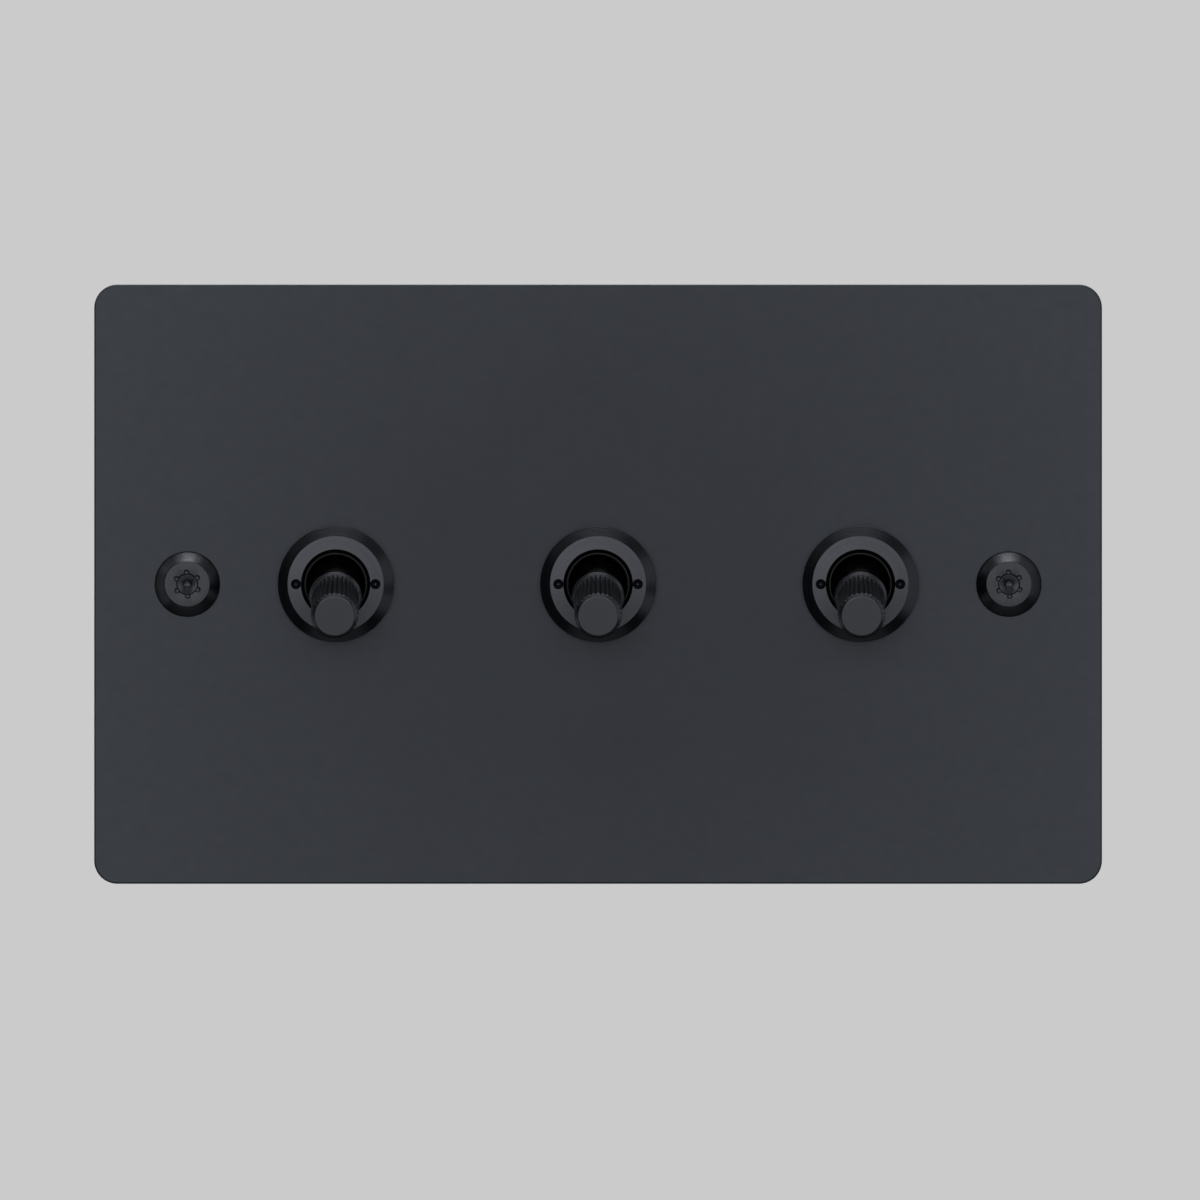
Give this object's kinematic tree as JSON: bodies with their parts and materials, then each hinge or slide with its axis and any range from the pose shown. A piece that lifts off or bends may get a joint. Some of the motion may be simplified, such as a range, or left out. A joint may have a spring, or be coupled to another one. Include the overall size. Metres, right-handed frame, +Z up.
{
  "type": "toggle light switch plate",
  "caption": "Flat black double wall plate with a row of knurled toggle switches in round ring nuts, six-lobe fixing screws and terminal housings behind.",
  "frame": {"origin": "centre of the plate in the plane of its rear rim, which is the wall plane", "axes": "+X along the plate's length to the right as seen from the room, +Z up, +Y into the wall"},
  "size_m": [0.148, 0.0428, 0.088],
  "materials": {
    "plate_metal": "satin near-black powder coat with a faint grain",
    "black_metal": "satin near-black finish over turned metal",
    "bush_metal": "black-plated cast and turned metal",
    "lever_metal": "glossy blackened steel",
    "steel": "bright zinc-plated steel",
    "brass": "machined brass",
    "cover_plastic": "matt black moulding",
    "base_plastic": "matt dark grey moulding",
    "seal_fibre": "red vulcanised fibre",
    "nylon": "natural nylon"
  },
  "bodies": {
    "plate": {"front_plate": "plate_metal", "left_fixing_screw": "black_metal", "left_screw_retainer": "nylon", "right_fixing_screw": "black_metal", "right_screw_retainer": "nylon", "earth_terminal": "brass", "earth_terminal_screw": "steel", "left_bezel_ring": "black_metal", "left_bush": "bush_metal", "left_seal_ring": "seal_fibre", "left_pivot_pin": "lever_metal", "left_housing_cover": "cover_plastic", "left_housing_base": "base_plastic", "left_l1_terminal": "brass", "left_com_terminal": "brass", "left_l2_terminal": "brass", "left_l1_terminal_screw": "steel", "left_com_terminal_screw": "steel", "left_l2_terminal_screw": "steel", "middle_bezel_ring": "black_metal", "middle_bush": "bush_metal", "middle_seal_ring": "seal_fibre", "middle_pivot_pin": "lever_metal", "middle_housing_cover": "cover_plastic", "middle_housing_base": "base_plastic", "middle_l1_terminal": "brass", "middle_com_terminal": "brass", "middle_l2_terminal": "brass", "middle_l1_terminal_screw": "steel", "middle_com_terminal_screw": "steel", "middle_l2_terminal_screw": "steel", "right_bezel_ring": "black_metal", "right_bush": "bush_metal", "right_seal_ring": "seal_fibre", "right_pivot_pin": "lever_metal", "right_housing_cover": "cover_plastic", "right_housing_base": "base_plastic", "right_l1_terminal": "brass", "right_com_terminal": "brass", "right_l2_terminal": "brass", "right_l1_terminal_screw": "steel", "right_com_terminal_screw": "steel", "right_l2_terminal_screw": "steel"},
    "left_toggle": {"left_toggle_knob": "black_metal", "left_toggle_lever": "lever_metal", "left_plunger_spring": "steel"},
    "left_plunger_body": {"left_plunger": "brass"},
    "left_rocker": {"left_rocker_contact": "brass"},
    "middle_toggle": {"middle_toggle_knob": "black_metal", "middle_toggle_lever": "lever_metal", "middle_plunger_spring": "steel"},
    "middle_plunger_body": {"middle_plunger": "brass"},
    "middle_rocker": {"middle_rocker_contact": "brass"},
    "right_toggle": {"right_toggle_knob": "black_metal", "right_toggle_lever": "lever_metal", "right_plunger_spring": "steel"},
    "right_plunger_body": {"right_plunger": "brass"},
    "right_rocker": {"right_rocker_contact": "brass"}
  },
  "joints": [
    {"name": "left_toggle_tilt", "type": "hinge", "parent": "plate", "child": "left_toggle", "pos_m": [-0.0385, 0.0006, 0], "axis": [-1, 0, 0], "range_deg": [0, 30]},
    {"name": "left_plunger_slide", "type": "slide", "parent": "left_toggle", "child": "left_plunger_body", "axis": [0, -0.9659, -0.2588], "range_m": [0, 0.0008], "stiffness_N_per_m": 1500, "springref_m": -0.002, "deforming": ["left_plunger_spring"]},
    {"name": "left_rocker_tilt", "type": "hinge", "parent": "plate", "child": "left_rocker", "pos_m": [-0.0385, 0.0125, 0], "axis": [1, 0, 0], "range_deg": [0, 20]},
    {"name": "middle_toggle_tilt", "type": "hinge", "parent": "plate", "child": "middle_toggle", "pos_m": [0, 0.0006, 0], "axis": [-1, 0, 0], "range_deg": [0, 30]},
    {"name": "middle_plunger_slide", "type": "slide", "parent": "middle_toggle", "child": "middle_plunger_body", "axis": [0, -0.9659, -0.2588], "range_m": [0, 0.0008], "stiffness_N_per_m": 1500, "springref_m": -0.002, "deforming": ["middle_plunger_spring"]},
    {"name": "middle_rocker_tilt", "type": "hinge", "parent": "plate", "child": "middle_rocker", "pos_m": [0, 0.0125, 0], "axis": [1, 0, 0], "range_deg": [0, 20]},
    {"name": "right_toggle_tilt", "type": "hinge", "parent": "plate", "child": "right_toggle", "pos_m": [0.0385, 0.0006, 0], "axis": [-1, 0, 0], "range_deg": [0, 30]},
    {"name": "right_plunger_slide", "type": "slide", "parent": "right_toggle", "child": "right_plunger_body", "axis": [0, -0.9659, -0.2588], "range_m": [0, 0.0008], "stiffness_N_per_m": 1500, "springref_m": -0.002, "deforming": ["right_plunger_spring"]},
    {"name": "right_rocker_tilt", "type": "hinge", "parent": "plate", "child": "right_rocker", "pos_m": [0.0385, 0.0125, 0], "axis": [1, 0, 0], "range_deg": [0, 20]}
  ],
  "couplings": [
    {"joint": "left_rocker_tilt", "follows": "left_toggle_tilt", "ratio": 0.66667},
    {"joint": "middle_rocker_tilt", "follows": "middle_toggle_tilt", "ratio": 0.66667},
    {"joint": "right_rocker_tilt", "follows": "right_toggle_tilt", "ratio": 0.66667}
  ]
}
